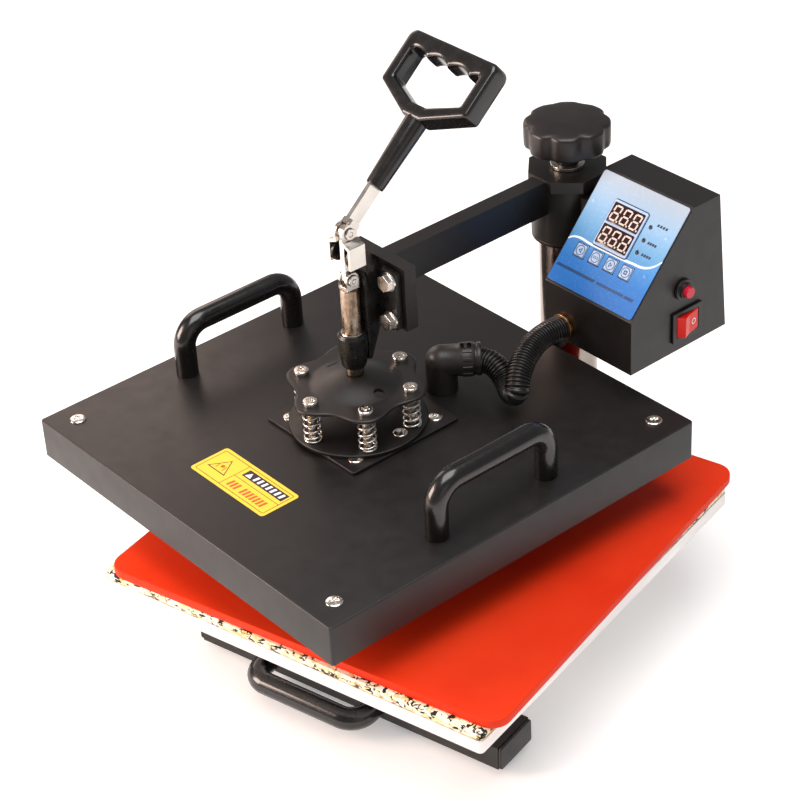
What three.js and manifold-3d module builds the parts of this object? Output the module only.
// Swing-away heat press: flat heated platen on a swinging arm over a padded lower platen.
// Millimetres, +Z up, bench at z = 0. The arm and everything on it is built square to the
// lower platen and then swung about the post, which is how the press is stored.
import * as THREE from 'three';
import { mergeVertices } from 'three/addons/utils/BufferGeometryUtils.js';
import Module from 'manifold-3d';

const wasm = await Module();
wasm.setup();

// ---------- driving dimensions ----------
const GAP = 0.3;                    // clearance between neighbouring solids
const ORIGIN = [-44.92, 27.776];    // lower platen centre to the centre of the outline, x and y
const SWING_DEG = -13.8;            // stored swing of the arm about the post
const POST = { y: 234.2, r: 25, bottom: 38.3, top: 326 };
const PLATEN = { size: 380, thick: 35.5, top: 198 };
const PAD = { size: 375, corner: 16, bottom: 115, top: 122.7, x: 3.8, y: 7.6, turn: 1.4 };
const FOAM = { bottom: 107.3, top: 114.7 };
const PLATE = { size: 370, y: 2, bottom: 95, top: 107 };
const TUBE = { half: 150, rearHalf: 100, depth: 44, bottom: 8, top: 30, front: -112, rear: 256 };
const FOOT = { r: 14, frontX: 130, rearX: 80, inset: 22 };
const CLAMP_Y = -4.5;               // clamp axis, ahead of the platen centre
const T = PLATEN.top;               // heights of the arm's parts are counted from here
const PIVOT = { z: T + 159, crank: 20, link: 42 };
const LOWER_PIN_Z = PIVOT.z + PIVOT.crank - PIVOT.link;
const LEVER = { angle: 41, gripFrom: 41.3, gripTo: 103, top: 167.4, shoulder: 120.5, half: 50 };
const ARM = { half: 7.5, bottom: T + 113.5, top: T + 144.5 };
const STUD = { circle: 47, count: 6, discTop: T + 6.3, starBottom: T + 37, starTop: T + 40 };
const BOX = {
  x0: 38, x1: 137.5, front: 171, lip: T + 77.5, bottom: T + 28, top: T + 155.7,
  topFront: 241.7, topBack: 272, back: 283, wall: 1.6,
};
const HANDLE_R = 9.5;
const KEYS = [19.6, 37, 54, 71.2];          // key centres across the sloped panel
const KEY_ROW = 34.5;                       // key centres up the slope
const RESET = { y: 230, z: T + 85, r: 4.9 };
const ROCKER = { y: 234.6, z: T + 51.8, halfY: 12.4, halfZ: 9.4, rim: 4.6 };
const GLAND = { x: 60, z: T + 42, r: 11.3 };
const ELBOW = { x: 10, y: 78, z: T + 27, heading: 51, r: 13.4, reach: 33 };
const LINK = { half: 2.5, cheek: 2.8, outer: 5.4 };   // centre link and the cheeks either side

// ---------- geometry helpers ----------
const rad = (degrees) => degrees * Math.PI / 180;

function toManifold(geometry) {
  const bare = geometry.clone();
  bare.deleteAttribute('normal');
  bare.deleteAttribute('uv');
  const merged = mergeVertices(bare, 1e-4);
  return new wasm.Manifold(new wasm.Mesh({
    numProp: 3,
    vertProperties: new Float32Array(merged.attributes.position.array),
    triVerts: new Uint32Array(merged.index.array),
  }));
}

function toGeometry(manifold) {
  const mesh = manifold.getMesh();
  const geometry = new THREE.BufferGeometry();
  geometry.setAttribute('position', new THREE.BufferAttribute(mesh.vertProperties, 3));
  geometry.setIndex(new THREE.BufferAttribute(mesh.triVerts, 1));
  return geometry;
}

const join = (...parts) => toGeometry(
  parts.map(toManifold).reduce((all, part) => all.add(part)));

const cut = (body, ...tools) => toGeometry(
  tools.map(toManifold).reduce((rest, tool) => rest.subtract(tool), toManifold(body)));

// box given by its low and high corners
function block(x0, x1, y0, y1, z0, z1) {
  return new THREE.BoxGeometry(x1 - x0, y1 - y0, z1 - z0)
    .translate((x0 + x1) / 2, (y0 + y1) / 2, (z0 + z1) / 2);
}

// solid turned about a vertical axis at x, y from [radius, height] points, axis to axis
function turned(x, y, profile, segments = 32) {
  const points = profile.map(([r, z]) => new THREE.Vector2(r, z));
  return new THREE.LatheGeometry(points, segments).rotateX(Math.PI / 2).translate(x, y, 0);
}

const disc = (x, y, r, z0, z1, segments = 28) =>
  turned(x, y, [[0, z0], [r, z0], [r, z1], [0, z1]], segments);

// round bar along X between two x positions
const crossPin = (x0, x1, y, z, r, segments = 24) =>
  new THREE.CylinderGeometry(r, r, x1 - x0, segments).rotateZ(Math.PI / 2)
    .translate((x0 + x1) / 2, y, z);

function roundedRect(width, depth, corner, x = 0, y = 0) {
  const [a, b] = [x - width / 2, y - depth / 2];
  const [c, d] = [x + width / 2, y + depth / 2];
  const shape = new THREE.Shape();
  shape.moveTo(a + corner, b);
  shape.lineTo(c - corner, b);
  shape.quadraticCurveTo(c, b, c, b + corner);
  shape.lineTo(c, d - corner);
  shape.quadraticCurveTo(c, d, c - corner, d);
  shape.lineTo(a + corner, d);
  shape.quadraticCurveTo(a, d, a, d - corner);
  shape.lineTo(a, b + corner);
  shape.quadraticCurveTo(a, b, a + corner, b);
  return shape;
}

// flat outline in x, y raised from z0 to z1
const slab = (shape, z0, z1, curveSegments = 6) =>
  new THREE.ExtrudeGeometry(shape, { depth: z1 - z0, bevelEnabled: false, curveSegments })
    .translate(0, 0, z0);

// outline given as [y, z] points, made x0..x1 thick
function profileAcross(points, x0, x1) {
  const shape = new THREE.Shape(points.map(([y, z]) => new THREE.Vector2(y, z)));
  return new THREE.ExtrudeGeometry(shape, { depth: x1 - x0, bevelEnabled: false })
    .applyMatrix4(new THREE.Matrix4().set(0, 0, 1, x0, 1, 0, 0, 0, 0, 1, 0, 0, 0, 0, 0, 1));
}

// round bar swept along straight runs with rounded corners
function bentBar(points, r, bend, steps = 24, sides = 12) {
  const corners = points.map((point) => new THREE.Vector3(...point));
  const path = new THREE.CurvePath();
  let from = corners[0];
  for (let i = 1; i < corners.length - 1; i += 1) {
    const before = corners[i].clone().sub(corners[i - 1]).normalize().multiplyScalar(bend);
    const after = corners[i + 1].clone().sub(corners[i]).normalize().multiplyScalar(bend);
    const start = corners[i].clone().sub(before);
    const end = corners[i].clone().add(after);
    path.add(new THREE.LineCurve3(from, start));
    path.add(new THREE.QuadraticBezierCurve3(start, corners[i], end));
    from = end;
  }
  path.add(new THREE.LineCurve3(from, corners[corners.length - 1]));
  return sweep(path, r, steps, sides);
}

function sweep(path, r, steps, sides) {
  const ring = new THREE.Shape();
  ring.absarc(0, 0, r, 0, Math.PI * 2);
  return new THREE.ExtrudeGeometry(ring, {
    steps, extrudePath: path, bevelEnabled: false, curveSegments: sides / 2,
  });
}

const hexagon = (acrossFlats) => new THREE.Shape(Array.from({ length: 6 }, (_, i) => {
  const angle = rad(60 * i + 30);
  const r = acrossFlats / Math.sqrt(3);
  return new THREE.Vector2(r * Math.cos(angle), r * Math.sin(angle));
}));

// ---------- base ----------
function baseFrame() {
  const { half, depth, bottom, top, front, rear } = TUBE;
  const frontTube = block(-half, half, front, front + depth, bottom, top);
  const rearTube = block(-TUBE.rearHalf, TUBE.rearHalf, rear - depth, rear, bottom, top);
  const spine = block(-30, 30, front + depth - 2, rear - depth + 2, bottom, top);
  const column = block(-35, 35, -35, 35, top - 2, PLATE.bottom - 5);
  const saddle = block(-90, 90, -90, 90, PLATE.bottom - 5.5, PLATE.bottom - GAP);
  const flange = disc(0, POST.y, 44, top - 1, POST.bottom - GAP, 48);
  return join(frontTube, rearTube, spine, column, saddle, flange);
}

function foot(x, y) {
  return turned(x, y, [[0, 0], [FOOT.r - 2, 0], [FOOT.r, 2], [FOOT.r, TUBE.bottom - GAP],
    [0, TUBE.bottom - GAP]], 24);
}

function post() {
  return turned(0, POST.y, [[0, POST.bottom], [POST.r, POST.bottom], [POST.r, POST.top - 1.5],
    [POST.r - 1.5, POST.top], [0, POST.top]], 48);
}

function frontHandle() {
  const [x0, x1] = [-76, 32];
  const [root, reach, z] = [TUBE.front - GAP, TUBE.front - 27, 20];
  return bentBar([[x0, root, z], [x0, reach, z], [x1, reach, z], [x1, root, z]], HANDLE_R, 15);
}

const lowerPlate = () => slab(
  roundedRect(PLATE.size, PLATE.size, 4, 0, PLATE.y), PLATE.bottom, PLATE.top);

const foamLayer = () => slab(
  roundedRect(PLATE.size, PLATE.size, 5, 0, PLATE.y), FOAM.bottom, FOAM.top);

// the loose pad lies a little off centre and slightly turned on the foam
const siliconePad = () => slab(roundedRect(PAD.size, PAD.size, PAD.corner), PAD.bottom, PAD.top)
  .rotateZ(rad(PAD.turn)).translate(PAD.x, PAD.y, 0);

// ---------- lift bush and swinging weldment ----------
function liftBush() {
  const outer = join(disc(0, POST.y, 31, T + 82, T + 85, 40),
    disc(0, POST.y, 27.6, T + 84, T + 103, 40));
  return cut(outer, disc(0, POST.y, POST.r + 0.2, T + 80, T + 105, 40));
}

function swingArm() {
  const sleeve = disc(0, POST.y, 31, T + 85 + GAP, T + 137, 48);
  const cap = slab(new THREE.Shape(Array.from({ length: 8 }, (_, i) => {
    const angle = rad(45 * i + 22.5);
    const r = 32.5 / Math.cos(rad(22.5));
    return new THREE.Vector2(r * Math.cos(angle), POST.y + r * Math.sin(angle));
  })), T + 136, T + 146);
  const bar = block(-ARM.half, ARM.half, 36, POST.y - 27, ARM.bottom, ARM.top);
  const endPlate = block(-33.5, 33.5, 25, 36.5, T + 89, T + 145.3);
  const boxArm = block(24, BOX.x0 - GAP, POST.y - 12, POST.y + 12, T + 96, T + 130);
  return cut(join(sleeve, cap, bar, endPlate, boxArm),
    disc(0, POST.y, 28, T + 80, T + 104, 48),
    disc(0, POST.y, POST.r + 0.4, T + 103, T + 134, 48),
    disc(0, POST.y, 8.5, T + 130, T + 150, 32));
}

// ---------- clamp ----------
function earProfile() {
  const round = Array.from({ length: 15 }, (_, i) => {
    const angle = rad(60 + 15 * i);
    return [CLAMP_Y + 8.2 * Math.cos(angle), PIVOT.z + 8.2 * Math.sin(angle)];
  });
  return [...round, [5, T + 143], [8, T + 126], [24, T + 126], [24, T + 139], [14, T + 152]];
}

function clampCasting() {
  const flange = block(-29, 29, 18.5, 24.7, T + 91, T + 141);
  const spine = profileAcross(
    [[21, T + 98], [21, T + 139], [3.9, T + 139], [3.9, T + 62], [7, T + 62]], -9.5, 9.5);
  const barrel = turned(0, CLAMP_Y, [[0, T + 57], [9.6, T + 57], [10.4, T + 59], [12.2, T + 70],
    [12.2, T + 85], [10.6, T + 87.5], [0, T + 87.5]]);
  const ears = [-1, 1].map((side) => profileAcross(
    earProfile(), Math.min(side * 8, side * 10.6), Math.max(side * 8, side * 10.6)));
  const trunnions = [-1, 1].map((side) => crossPin(
    Math.min(side * 10, side * 12.7), Math.max(side * 10, side * 12.7), CLAMP_Y, PIVOT.z, 3.1));
  const body = join(flange, spine, barrel, ...ears, ...trunnions);
  const bore = disc(0, CLAMP_Y, 7.8, T + 50, T + 92);
  const boltHoles = [];
  for (const x of [-22.5, 22.5]) {
    for (const z of [T + 98.5, T + 134]) {
      boltHoles.push(new THREE.CylinderGeometry(4.4, 4.4, 20, 20).translate(x, 22, z));
    }
  }
  return cut(body, bore, ...boltHoles);
}

function clampBolt(x, z) {
  const head = slab(hexagon(13), 0, 5.4).rotateX(Math.PI / 2);
  const washer = new THREE.CylinderGeometry(8.2, 8.2, 1.6, 24).translate(0, 0.6, 0);
  const shank = new THREE.CylinderGeometry(4, 4, 6.4, 20).translate(0, 4, 0);
  return join(head, washer, shank).translate(x, 16.8, z);
}

function plungerRod() {
  const [bottom, top] = [STUD.starTop + 9 + GAP, T + 128];
  return turned(0, CLAMP_Y, [[0, bottom], [6.9, bottom], [7.5, bottom + 0.6], [7.5, top - 0.6],
    [6.9, top], [0, top]]);
}

// low and high x of the cheek on one side of the link
const cheekSpan = (side) => side < 0 ? [-LINK.outer, -LINK.cheek] : [LINK.cheek, LINK.outer];

// fork on top of the rod that holds the lower pin
function clevis() {
  const z = LOWER_PIN_Z;
  const foot = block(
    -LINK.outer, LINK.outer, CLAMP_Y - 6.3, CLAMP_Y + 6.3, T + 128 + GAP, z - 5.4);
  const cheeks = [-1, 1].map((side) => {
    const [a, b] = cheekSpan(side);
    return join(block(a, b, CLAMP_Y - 6.3, CLAMP_Y + 6.3, z - 6, z + 1),
      crossPin(a, b, CLAMP_Y, z, 6.8));
  });
  return cut(join(foot, ...cheeks), crossPin(-8, 8, CLAMP_Y, z, 3.3));
}

function headedPin(y, z, half) {
  return join(crossPin(-half, half, y, z, 3), crossPin(-half, -half + 1.1, y, z, 4.8),
    crossPin(half - 1.1, half, y, z, 4.8));
}

function linkBar() {
  const low = LOWER_PIN_Z;
  const high = PIVOT.z + PIVOT.crank;
  const { half } = LINK;
  const body = join(block(-half, half, CLAMP_Y - 4.6, CLAMP_Y + 4.6, low, high),
    crossPin(-half, half, CLAMP_Y, low, 5), crossPin(-half, half, CLAMP_Y, high, 6));
  return cut(body, crossPin(-5, 5, CLAMP_Y, low, 3.3), crossPin(-5, 5, CLAMP_Y, high, 3.3));
}

// moves a solid built along +Z from the upper pin onto the lever's line
const alongLever = (geometry) => geometry
  .rotateX(-rad(90 - LEVER.angle))
  .translate(0, CLAMP_Y, PIVOT.z + PIVOT.crank);

// flat bar with a cheek on each side of its foot and a tang inside the grip
function leverBar() {
  const top = PIVOT.z + PIVOT.crank;
  const parts = [
    alongLever(block(-2, 2, -6.6, 6.6, 7, 41)),
    alongLever(block(-2, 2, -5, 5, 38, 60)),
    alongLever(block(-LINK.outer, LINK.outer, -5.2, 5.2, 7, 10.4)),
  ];
  for (const side of [-1, 1]) {
    const [a, b] = cheekSpan(side);
    parts.push(crossPin(a, b, CLAMP_Y, top, 8, 32), alongLever(block(a, b, -5.2, 5.2, 0, 10.4)));
    parts.push(sideStrap(side));
  }
  return cut(join(...parts), crossPin(-8, 8, CLAMP_Y, top, 3.3),
    crossPin(-13, 13, CLAMP_Y, PIVOT.z, 3.4));
}

// joggled strap that steps out from the cheek and down past the ear
function sideStrap(side) {
  const outline = [[LINK.cheek, T + 180], [LINK.outer, T + 180], [LINK.outer, T + 174],
    [13.6, T + 170.6], [13.6, T + 151.5], [11, T + 151.5], [11, T + 168.6],
    [LINK.cheek, T + 172]];
  const shape = new THREE.Shape(outline.map(([x, z]) => new THREE.Vector2(side * x, z)));
  return new THREE.ExtrudeGeometry(shape, { depth: 15.6, bevelEnabled: false })
    .rotateX(Math.PI / 2).translate(0, CLAMP_Y + 7.8, 0);
}

function upperPin(side) {
  const [a, b] = side < 0 ? [-6.9, -3] : [3, 6.9];
  const [c, d] = side < 0 ? [-6.9, -5.7] : [5.7, 6.9];
  const z = PIVOT.z + PIVOT.crank;
  return join(crossPin(a, b, CLAMP_Y, z, 3), crossPin(c, d, CLAMP_Y, z, 4.8));
}

// D-shaped grip: a tapered sleeve that opens into a five-sided frame with finger grooves
function leverGrip() {
  const { half, top, shoulder, gripFrom, gripTo } = LEVER;
  const frame = new THREE.Shape();
  frame.moveTo(-half + 8, top);
  frame.quadraticCurveTo(-half, top, -half, top - 8);
  frame.lineTo(-half, shoulder + 3);
  frame.quadraticCurveTo(-half, shoulder, -half + 3, shoulder - 2);
  frame.lineTo(-10, gripTo - 2);
  frame.lineTo(10, gripTo - 2);
  frame.lineTo(half - 3, shoulder - 2);
  frame.quadraticCurveTo(half, shoulder, half, shoulder + 3);
  frame.lineTo(half, top - 8);
  frame.quadraticCurveTo(half, top, half - 8, top);
  frame.lineTo(-half + 8, top);
  const hole = new THREE.Path();
  const inner = half - 11.5;
  hole.moveTo(-inner, shoulder + 5);
  hole.lineTo(-inner, top - 16);
  for (let i = 0; i <= 24; i += 1) {
    const x = -inner + 3 + (2 * inner - 6) * i / 24;
    hole.lineTo(x, top - 16 - 1.7 * Math.cos(8 * Math.PI * i / 24));
  }
  hole.lineTo(inner, top - 16);
  hole.lineTo(inner, shoulder + 5);
  hole.lineTo(9, gripTo + 11);
  hole.lineTo(-9, gripTo + 11);
  hole.lineTo(-inner, shoulder + 5);
  frame.holes.push(hole);
  const ring = new THREE.ExtrudeGeometry(frame, {
    depth: 14, bevelEnabled: true, bevelThickness: 3, bevelSize: 2.4, bevelOffset: -2.4,
    bevelSegments: 2, curveSegments: 3,
  }).rotateX(Math.PI / 2).translate(0, 7, 0);
  const sleeve = turned(0, 0, [[0, gripFrom], [7.4, gripFrom], [8, gripFrom + 0.8],
    [9.6, gripTo - 6], [9.8, gripTo + 6], [0, gripTo + 6]], 28);
  const slot = block(-2.3, 2.3, -5.3, 5.3, gripFrom - 5, 60.6);
  return alongLever(cut(join(sleeve, ring), slot));
}

// ---------- knob ----------
function knob() {
  const profile = [[0, 133], [8, 133], [8, 146.5], [9, 147], [9, 161], [12, 165.6],
    [34.8, 165.6], [36, 167], [36.4, 175], [36.2, 184], [34.8, 186.8], [30, 188.6],
    [16, 190], [0, 190.5]].map(([r, z]) => [r, T + z]);
  const geometry = turned(0, 0, profile, 64);
  const place = geometry.attributes.position;
  for (let i = 0; i < place.count; i += 1) {
    const [x, y] = [place.getX(i), place.getY(i)];
    const weight = Math.min(1, Math.max(0, (Math.hypot(x, y) - 26) / 7));
    const valley = (0.5 - 0.5 * Math.cos(8 * Math.atan2(y, x))) ** 2;
    const scale = 1 - 0.085 * weight * valley;
    place.setXY(i, x * scale, y * scale);
  }
  return join(geometry.translate(0, POST.y, 0));
}

const thrustRing = () => cut(disc(0, POST.y, 14.5, T + 146 + GAP, T + 149.4),
  disc(0, POST.y, 9.4, T + 140, T + 155));

// ---------- control box ----------
const slope = () => {
  const [dy, dz] = [BOX.topFront - BOX.front, BOX.top - BOX.lip];
  const length = Math.hypot(dy, dz);
  return { along: [dy / length, dz / length], out: [-dz / length, dy / length], length };
};

// places a solid built with x across, y up the slope and z out of the slope
function onSlope(geometry) {
  const { along, out } = slope();
  return geometry.applyMatrix4(new THREE.Matrix4().set(
    1, 0, 0, BOX.x0,
    0, along[0], out[0], BOX.front,
    0, along[1], out[1], BOX.lip,
    0, 0, 0, 1));
}

const boxOutline = () => [[BOX.front, BOX.bottom], [BOX.front, BOX.lip], [BOX.topFront, BOX.top],
  [BOX.topBack, BOX.top], [BOX.back, BOX.bottom]];

function boxInside() {
  const w = BOX.wall;
  return [[BOX.front + w, BOX.bottom + w], [BOX.front + w, BOX.lip - 0.6],
    [BOX.topFront + 0.6, BOX.top - w], [BOX.topBack + 4, BOX.top - w], [BOX.back + 6, BOX.bottom + w]];
}

// square hole in the slope for one key
const keyHole = (x, low, high) => onSlope(
  block(x - 6.3, x + 6.3, KEY_ROW - 6.3, KEY_ROW + 6.3, low, high));

// block around the rocker's outline, wider than it by `extra` all round
const switchBlock = (x0, x1, extra) => block(x0, x1,
  ROCKER.y - ROCKER.halfY - extra, ROCKER.y + ROCKER.halfY + extra,
  ROCKER.z - ROCKER.halfZ - extra, ROCKER.z + ROCKER.halfZ + extra);

function boxShell() {
  const body = profileAcross(boxOutline(), BOX.x0, BOX.x1);
  const hollow = profileAcross(boxInside(), BOX.x0 + BOX.wall, BOX.x1 - BOX.wall);
  const cablePort = new THREE.CylinderGeometry(9.4, 9.4, 10, 24)
    .translate(GLAND.x, BOX.front, GLAND.z);
  const sideHoles = [
    crossPin(BOX.x1 - 5, BOX.x1 + 5, RESET.y, RESET.z, RESET.r + 1.8),
    switchBlock(BOX.x1 - 5, BOX.x1 + 5, 1.7),
  ];
  const frontHoles = KEYS.map((x) => keyHole(x, -5, 5));
  return cut(body, hollow, cablePort, ...sideHoles, ...frontHoles);
}

// back cover that drops between the side walls
function boxBack() {
  const w = BOX.wall;
  const lean = (z) => BOX.back - (BOX.back - BOX.topBack) * (z - BOX.bottom) / (BOX.top - BOX.bottom);
  const [low, high] = [BOX.bottom + w + GAP, BOX.top - w - GAP];
  const outline = [[lean(low) - 2.2, low], [lean(high) - 2.2, high], [lean(high) - 0.6, high],
    [lean(low) - 0.6, low]];
  return profileAcross(outline, BOX.x0 + w + GAP, BOX.x1 - w - GAP);
}

function panelFilm() {
  const { length } = slope();
  const sheet = slab(roundedRect(96.5, length - 4, 3, 49.75, length / 2), GAP, GAP + 0.8);
  return cut(onSlope(sheet), ...KEYS.map((x) => keyHole(x, -2, 4)));
}

const displayWindow = () => onSlope(
  slab(roundedRect(37.6, 41, 2, 45.7, 64.5), GAP + 0.8 + GAP, GAP + 0.8 + GAP + 0.9));

const panelKey = (x) => onSlope(join(
  slab(roundedRect(11.8, 11.8, 1.4, x, KEY_ROW), GAP, GAP + 1.5),
  block(x - 5, x + 5, KEY_ROW - 5, KEY_ROW + 5, -3, 0.8)));

function switchBezel() {
  const plate = switchBlock(BOX.x1 + GAP, BOX.x1 + GAP + 2.2, ROCKER.rim);
  const body = switchBlock(BOX.x1 - 9, BOX.x1 + 1, 1.4);
  const well = switchBlock(BOX.x1 - 7.5, BOX.x1 + 6, GAP);
  return cut(join(plate, body), well);
}

// rocker on an upright hinge: its front end stands out and its back end is pressed in
function rocker() {
  const [x, front, back] = [BOX.x1, ROCKER.y - ROCKER.halfY, ROCKER.y + ROCKER.halfY];
  const outline = [[x - 3.6, front + 0.6], [x + 2.4, front], [x + 7.8, front + 4.6],
    [x + 4.9, front + 12], [x + 2.5, back - 0.2], [x - 3.6, back - 0.6]];
  const shape = new THREE.Shape(outline.map(([a, y]) => new THREE.Vector2(a, y)));
  return new THREE.ExtrudeGeometry(shape, { depth: 2 * ROCKER.halfZ, bevelEnabled: false })
    .translate(0, 0, ROCKER.z - ROCKER.halfZ);
}

function resetBezel() {
  const outside = join(crossPin(BOX.x1 + GAP, BOX.x1 + 3, RESET.y, RESET.z, RESET.r + 4.6),
    crossPin(BOX.x1 + 1, BOX.x1 + 5.5, RESET.y, RESET.z, RESET.r + 1.9),
    crossPin(BOX.x1 - 6, BOX.x1 + 1, RESET.y, RESET.z, RESET.r + 1.5));
  return cut(outside, crossPin(BOX.x1 - 4.5, BOX.x1 + 8, RESET.y, RESET.z, RESET.r + GAP));
}

const resetButton = () => crossPin(BOX.x1 - 0.5, BOX.x1 + 9.5, RESET.y, RESET.z, RESET.r);

function conduitGland() {
  const collar = new THREE.CylinderGeometry(GLAND.r, GLAND.r, 3, 32)
    .translate(GLAND.x, BOX.front - 1.5 - GAP, GLAND.z);
  const nose = new THREE.CylinderGeometry(9, 9, 8, 24)
    .translate(GLAND.x, BOX.front + 2, GLAND.z);
  return join(collar, nose);
}

// ---------- upper platen ----------
const upperPlaten = () => slab(
  roundedRect(PLATEN.size, PLATEN.size, 2), PLATEN.top - PLATEN.thick, PLATEN.top, 3);

const mountSquare = () => slab(roundedRect(112, 112, 3), T + GAP, T + 3);

function springDisc() {
  return slab(new THREE.Shape(new THREE.Path().absarc(0, CLAMP_Y, 57, 0, Math.PI * 2).getPoints(48)
    .slice(0, -1)), T + 3 + GAP, STUD.discTop);
}

const studPlace = (i) => {
  const angle = rad(30 + 60 * i);
  return [STUD.circle * Math.cos(angle), CLAMP_Y + STUD.circle * Math.sin(angle)];
};

// height of the pressed dome, a cap of a sphere, above the star plate
const DOME = { r: 36, height: 9 };
const DOME_BALL = (DOME.r ** 2 + DOME.height ** 2) / (2 * DOME.height);
const domeHeight = (r) => Math.sqrt(DOME_BALL ** 2 - r ** 2) - DOME_BALL + DOME.height;
const DOME_RINGS = [DOME.r, 31, 25, 18, 9, 0];

// six-lobed plate with a raised dome, drilled for the six shoulder screws
function starPlate() {
  const rim = Array.from({ length: 72 }, (_, i) => {
    const angle = 2 * Math.PI * i / 72;
    const r = 54.3 + 5 * Math.cos(6 * (angle - rad(30)));
    return new THREE.Vector2(r * Math.cos(angle), CLAMP_Y + r * Math.sin(angle));
  });
  const plate = slab(new THREE.Shape(rim), STUD.starBottom, STUD.starTop);
  const z = STUD.starTop;
  const cap = DOME_RINGS.map((r) => [r, z + domeHeight(r)]);
  const dome = turned(0, CLAMP_Y, [[0, z - 1], [DOME.r, z - 1], ...cap], 40);
  const hollow = DOME_RINGS.slice(1).map((r) => [r, z + domeHeight(r) - 3.2]);
  const under = turned(0, CLAMP_Y, [[0, z - 5], [DOME_RINGS[1], z - 5], ...hollow], 40);
  const holes = Array.from({ length: STUD.count }, (_, i) => {
    const [x, y] = studPlace(i);
    return disc(x, y, 4.4, z - 10, z + 10, 16);
  });
  return cut(join(plate, dome), under, ...holes);
}

function shoulderScrew(i) {
  const [x, y] = studPlace(i);
  return turned(x, y, [[0, STUD.discTop + GAP], [4, STUD.discTop + GAP], [4, STUD.starTop + GAP],
    [6.2, STUD.starTop + GAP], [6.2, STUD.starTop + 3.6], [5.8, STUD.starTop + 4],
    [0, STUD.starTop + 4]], 20);
}

// open coil spring around each shoulder screw
function coilSpring(i) {
  const [x, y] = studPlace(i);
  const [wire, r, turns] = [0.85, 6.9, 5.25];
  const [low, high] = [STUD.discTop + GAP + wire, STUD.starBottom - GAP - wire];
  class Helix extends THREE.Curve {
    getPoint(t, target = new THREE.Vector3()) {
      const angle = 2 * Math.PI * turns * t;
      return target.set(x + r * Math.cos(angle), y + r * Math.sin(angle), low + (high - low) * t);
    }
  }
  return sweep(new Helix(), wire, 42, 4);
}

function platenHandle(x) {
  const [y0, y1, z] = [-60, 54, T + 46];
  return bentBar([[x, y0, T + GAP], [x, y0, z], [x, y1, z], [x, y1, T + GAP]], HANDLE_R, 19);
}

// right-angle cable elbow: an upright and a level barrel that meet in a rounded corner
function elbow() {
  const { x, y, z, heading, r, reach } = ELBOW;
  const upright = disc(x, y, r, T + GAP, z, 32);
  const corner = new THREE.SphereGeometry(r, 32, 16).rotateX(Math.PI / 2).translate(x, y, z);
  const level = crossPin(0, reach, 0, 0, r, 32).rotateZ(rad(heading)).translate(x, y, z);
  return join(upright, corner, level);
}

// ---------- assembly ----------
const group = new THREE.Group();
const swung = new THREE.Matrix4().makeTranslation(0, POST.y, 0)
  .multiply(new THREE.Matrix4().makeRotationZ(rad(SWING_DEG)))
  .multiply(new THREE.Matrix4().makeTranslation(0, -POST.y, 0));

function add(name, geometry, colour, roughness, metalness) {
  const material = new THREE.MeshStandardMaterial({ color: colour, roughness, metalness });
  const mesh = new THREE.Mesh(geometry.translate(-ORIGIN[0], -ORIGIN[1], 0), material);
  mesh.name = name;
  group.add(mesh);
}

const addSwung = (name, geometry, ...look) => add(name, geometry.applyMatrix4(swung), ...look);

const PAINT = ['#2a2726', 0.42, 0];
const GLOSS = ['#121111', 0.2, 0];
const STEEL = ['#d6d2cc', 0.22, 1];
const DARK_PLASTIC = ['#1b1a1a', 0.45, 0];

add('base_frame', baseFrame(), ...PAINT);
const FOOT_PLACES = {
  fl: [-FOOT.frontX, TUBE.front + FOOT.inset], fr: [FOOT.frontX, TUBE.front + FOOT.inset],
  rl: [-FOOT.rearX, TUBE.rear - FOOT.inset], rr: [FOOT.rearX, TUBE.rear - FOOT.inset],
};
for (const [corner, [x, y]] of Object.entries(FOOT_PLACES)) {
  add(`foot_${corner}`, foot(x, y), '#161616', 0.85, 0);
}
add('post', post(), '#c9c1ba', 0.18, 1);
add('front_handle', frontHandle(), ...GLOSS);
add('lower_plate', lowerPlate(), '#dedcda', 0.4, 1);
add('foam_layer', foamLayer(), '#eedcb0', 0.9, 0);
add('silicone_pad', siliconePad(), '#e8401f', 0.55, 0);
add('lift_bush', liftBush(), '#3a3634', 0.4, 1);

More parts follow.
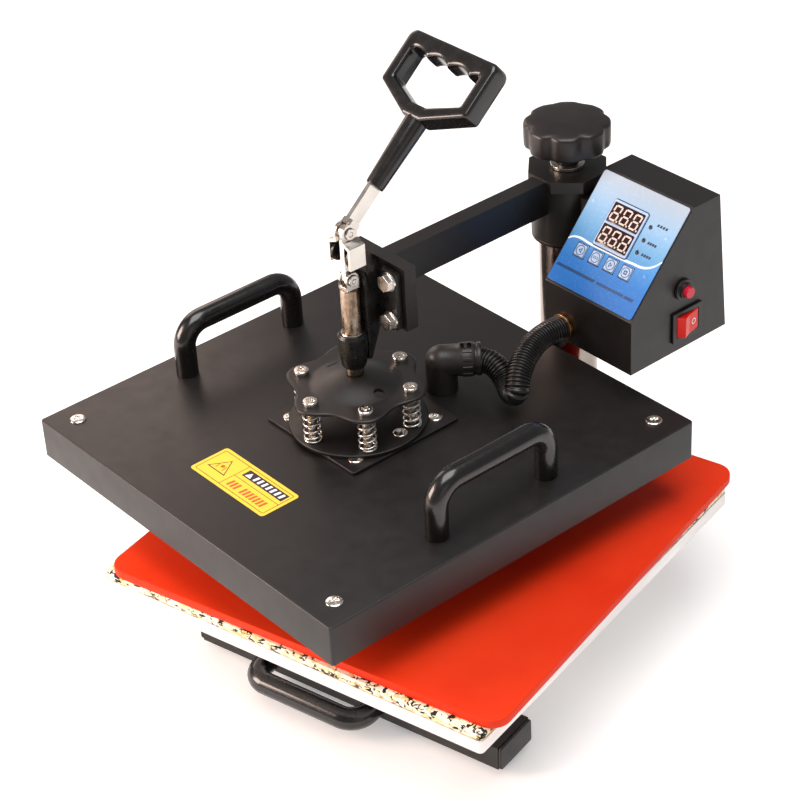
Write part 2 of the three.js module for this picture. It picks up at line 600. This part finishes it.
addSwung('swing_arm', swingArm(), ...PAINT);
addSwung('clamp_casting', clampCasting(), '#151414', 0.38, 0);
let boltNumber = 0;
for (const z of [T + 98.5, T + 134]) {
  for (const x of [-22.5, 22.5]) {
    boltNumber += 1;
    addSwung(`clamp_bolt_${boltNumber}`, clampBolt(x, z), ...STEEL);
  }
}
addSwung('plunger_rod', plungerRod(), '#a8876c', 0.3, 1);
addSwung('plunger_clevis', clevis(), ...STEEL);
addSwung('lower_pin', headedPin(CLAMP_Y, LOWER_PIN_Z, LINK.outer + 1.5), ...STEEL);
addSwung('toggle_link', linkBar(), ...STEEL);
addSwung('lever_bar', leverBar(), ...STEEL);
addSwung('upper_pin_left', upperPin(-1), ...STEEL);
addSwung('upper_pin_right', upperPin(1), ...STEEL);
addSwung('lever_grip', leverGrip(), ...GLOSS);
addSwung('pressure_knob', knob(), ...DARK_PLASTIC);
addSwung('thrust_ring', thrustRing(), ...STEEL);

addSwung('box_shell', boxShell(), ...PAINT);
addSwung('box_back', boxBack(), ...PAINT);
addSwung('panel_film', panelFilm(), '#8fb4dc', 0.3, 0);
addSwung('display_window', displayWindow(), '#2a1714', 0.12, 0);
KEYS.forEach((x, i) => addSwung(`panel_key_${i + 1}`, panelKey(x), '#9fc0e6', 0.35, 0));
addSwung('switch_bezel', switchBezel(), ...DARK_PLASTIC);
addSwung('power_rocker', rocker(), '#e22d22', 0.25, 0);
addSwung('reset_bezel', resetBezel(), ...DARK_PLASTIC);
addSwung('reset_button', resetButton(), '#d8283c', 0.3, 0);
addSwung('conduit_gland', conduitGland(), '#9a6a44', 0.35, 1);

addSwung('upper_platen', upperPlaten(), ...PAINT);
addSwung('mount_square', mountSquare(), ...PAINT);
addSwung('spring_disc', springDisc(), ...PAINT);
addSwung('star_plate', starPlate(), ...PAINT);
for (let i = 0; i < STUD.count; i += 1) {
  addSwung(`shoulder_screw_${i + 1}`, shoulderScrew(i), ...STEEL);
  addSwung(`platen_spring_${i + 1}`, coilSpring(i), '#cfcac3', 0.3, 1);
}
addSwung('platen_handle_left', platenHandle(-160), ...GLOSS);
addSwung('platen_handle_right', platenHandle(160), ...GLOSS);
addSwung('cable_elbow', elbow(), ...DARK_PLASTIC);

export default group;
